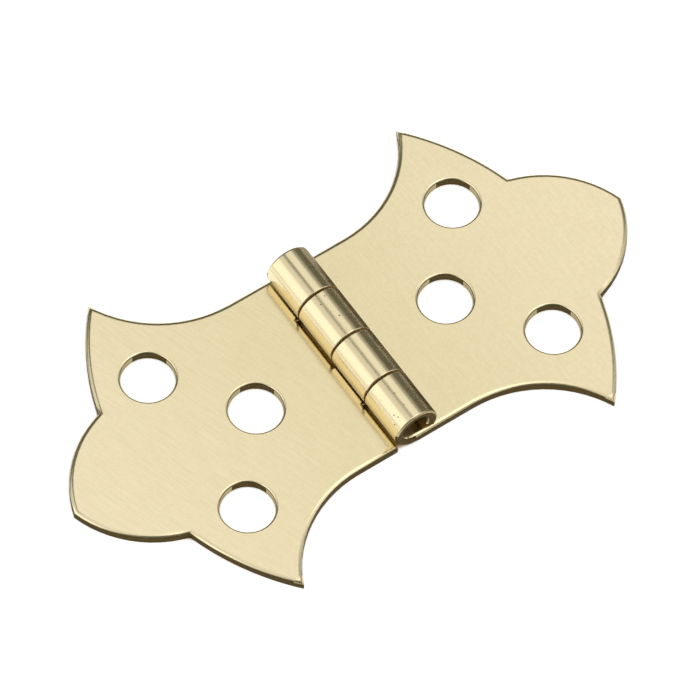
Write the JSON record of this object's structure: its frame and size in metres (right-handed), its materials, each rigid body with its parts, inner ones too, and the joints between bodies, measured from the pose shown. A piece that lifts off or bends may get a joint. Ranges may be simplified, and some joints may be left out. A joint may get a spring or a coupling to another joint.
{
  "type": "butterfly hinge",
  "caption": "Surface-mounted butterfly hinge of stamped sheet brass: leaves with pointed ears and an ogee lobe, rolled knuckles round a plain pin, and holes for small screws.",
  "frame": {"origin": "on the back plane of the leaves, under the middle of the pin, with the hinge laid flat", "axes": "+X from the pin across the right leaf, +Y along the pin, +Z out of the front, on the barrel's side"},
  "size_m": [0.0604, 0.0348, 0.0045],
  "materials": {
    "leaf_brass": "satin brushed leaves, polished barrel",
    "pin_brass": "drawn wire"
  },
  "bodies": {
    "left_half": {"left_leaf": "leaf_brass", "hinge_pin": "pin_brass"},
    "right_half": {"right_leaf": "leaf_brass"}
  },
  "joints": [
    {"name": "leaf_swing", "type": "hinge", "parent": "left_half", "child": "right_half", "pos_m": [0, 0, 0.00225], "axis": [0, -1, 0], "range_deg": [0, 184]}
  ]
}
